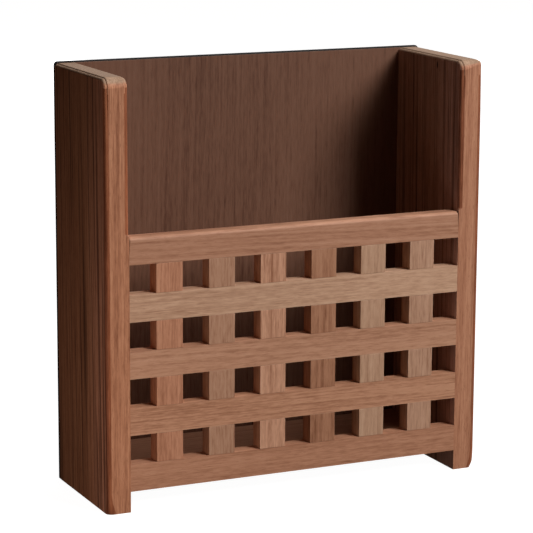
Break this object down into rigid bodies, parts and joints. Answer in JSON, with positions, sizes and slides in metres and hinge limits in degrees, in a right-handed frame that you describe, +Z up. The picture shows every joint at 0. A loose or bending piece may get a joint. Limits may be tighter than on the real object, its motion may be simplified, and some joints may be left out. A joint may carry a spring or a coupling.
{
  "type": "magazine rack",
  "caption": "Free-standing wooden magazine rack: two solid sides, a half-lapped lattice front, a bottom board and a thin back form an open-topped pocket.",
  "frame": {"origin": "on the floor, in the middle of the rack's footprint", "axes": "+X to the right seen from the front, +Y to the back, +Z up; the lattice faces -Y"},
  "size_m": [0.27, 0.092, 0.283],
  "materials": {
    "teak_sides": "oiled teak boards, grain upright, satin",
    "teak_rails": "oiled teak rails, grain along the rail, satin",
    "teak_slats": "oiled teak slats, grain upright, each a slightly different tint",
    "teak_board": "oiled teak board, grain from side to side",
    "back_veneer": "thin teak-faced plywood, grain upright, dark edges",
    "dowel_beech": "plain beech dowel, glued in, out of sight",
    "screw_steel": "small stainless countersunk wood screw"
  },
  "bodies": {
    "root": {"left_side_board": "teak_sides", "right_side_board": "teak_sides", "bottom_board": "teak_board", "back_panel": "back_veneer", "bottom_rail": "teak_rails", "lower_rail": "teak_rails", "middle_rail": "teak_rails", "upper_rail": "teak_rails", "top_rail": "teak_rails", "slat_1": "teak_slats", "slat_2": "teak_slats", "slat_3": "teak_slats", "slat_4": "teak_slats", "slat_5": "teak_slats", "slat_6": "teak_slats", "bottom_rail_dowel_left": "dowel_beech", "bottom_rail_dowel_right": "dowel_beech", "lower_rail_dowel_left": "dowel_beech", "lower_rail_dowel_right": "dowel_beech", "middle_rail_dowel_left": "dowel_beech", "middle_rail_dowel_right": "dowel_beech", "upper_rail_dowel_left": "dowel_beech", "upper_rail_dowel_right": "dowel_beech", "top_rail_dowel_left": "dowel_beech", "top_rail_dowel_right": "dowel_beech", "back_screw_1": "screw_steel", "back_screw_2": "screw_steel", "back_screw_3": "screw_steel", "back_screw_4": "screw_steel", "back_screw_5": "screw_steel", "back_screw_6": "screw_steel", "back_screw_7": "screw_steel", "back_screw_8": "screw_steel", "back_screw_9": "screw_steel", "back_screw_10": "screw_steel"}
  },
  "joints": []
}
